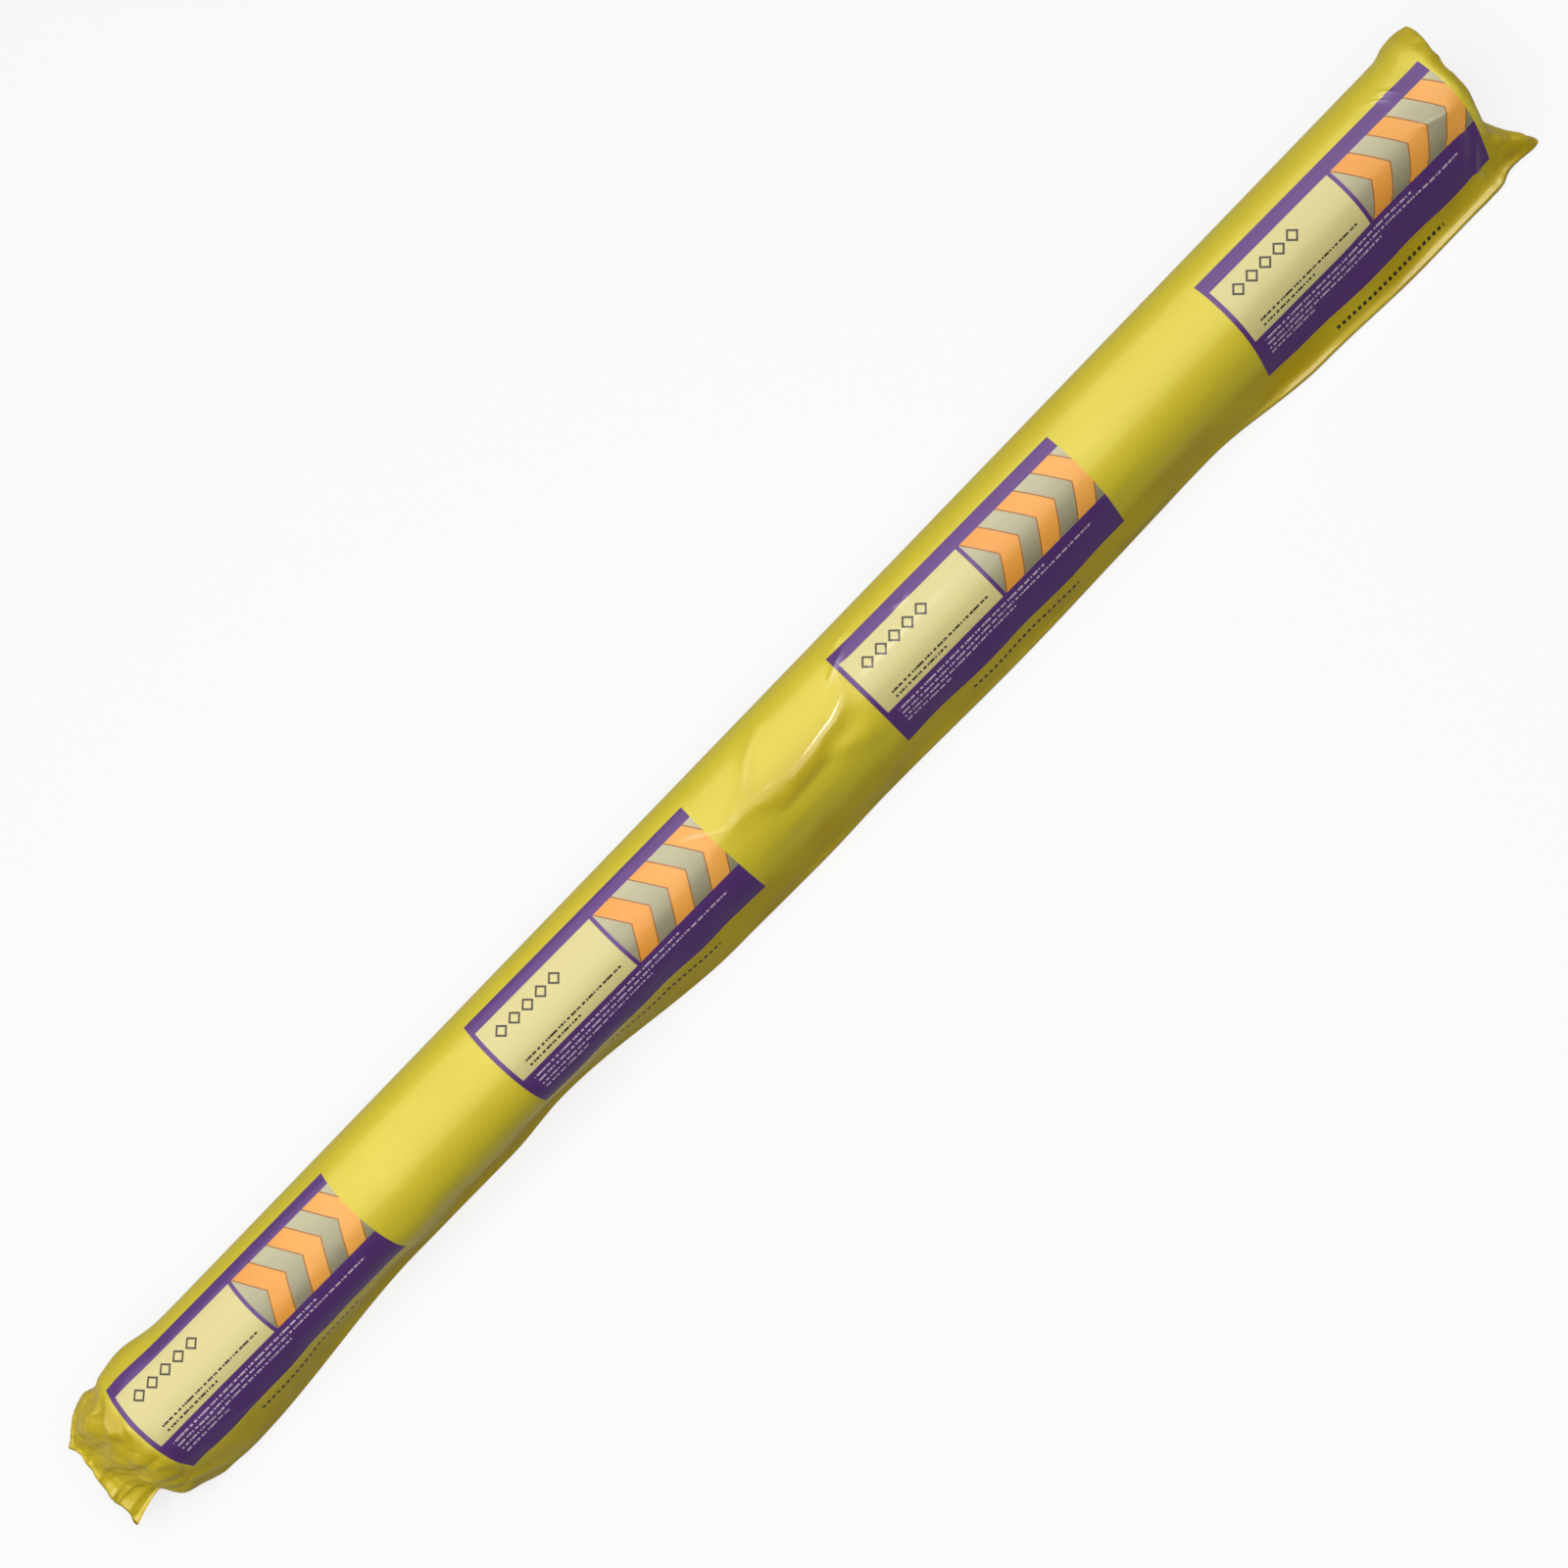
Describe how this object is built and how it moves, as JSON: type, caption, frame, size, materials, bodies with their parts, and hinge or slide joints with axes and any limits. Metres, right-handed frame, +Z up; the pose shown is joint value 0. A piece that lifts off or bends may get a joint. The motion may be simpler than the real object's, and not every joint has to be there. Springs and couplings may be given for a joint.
{
  "type": "packaged roll of reinforcing fabric",
  "caption": "Metre-wide roll of nonwoven reinforcing fabric, sealed in a loose yellow plastic film sleeve with four printed panels, lying on its side.",
  "frame": {"origin": "on the floor, straight below the middle of the roll's axis", "axes": "+X along the roll towards the flat sealed end, +Z up, and the slack of the film lies on the -Y side"},
  "size_m": [1.053, 0.0875, 0.0706],
  "materials": {
    "nonwoven_fabric": "matt off-white nonwoven",
    "printed_film": "thin glossy polyethylene film, printed"
  },
  "bodies": {
    "root": {"fabric_roll": "nonwoven_fabric", "film_sleeve": "printed_film"}
  },
  "joints": []
}
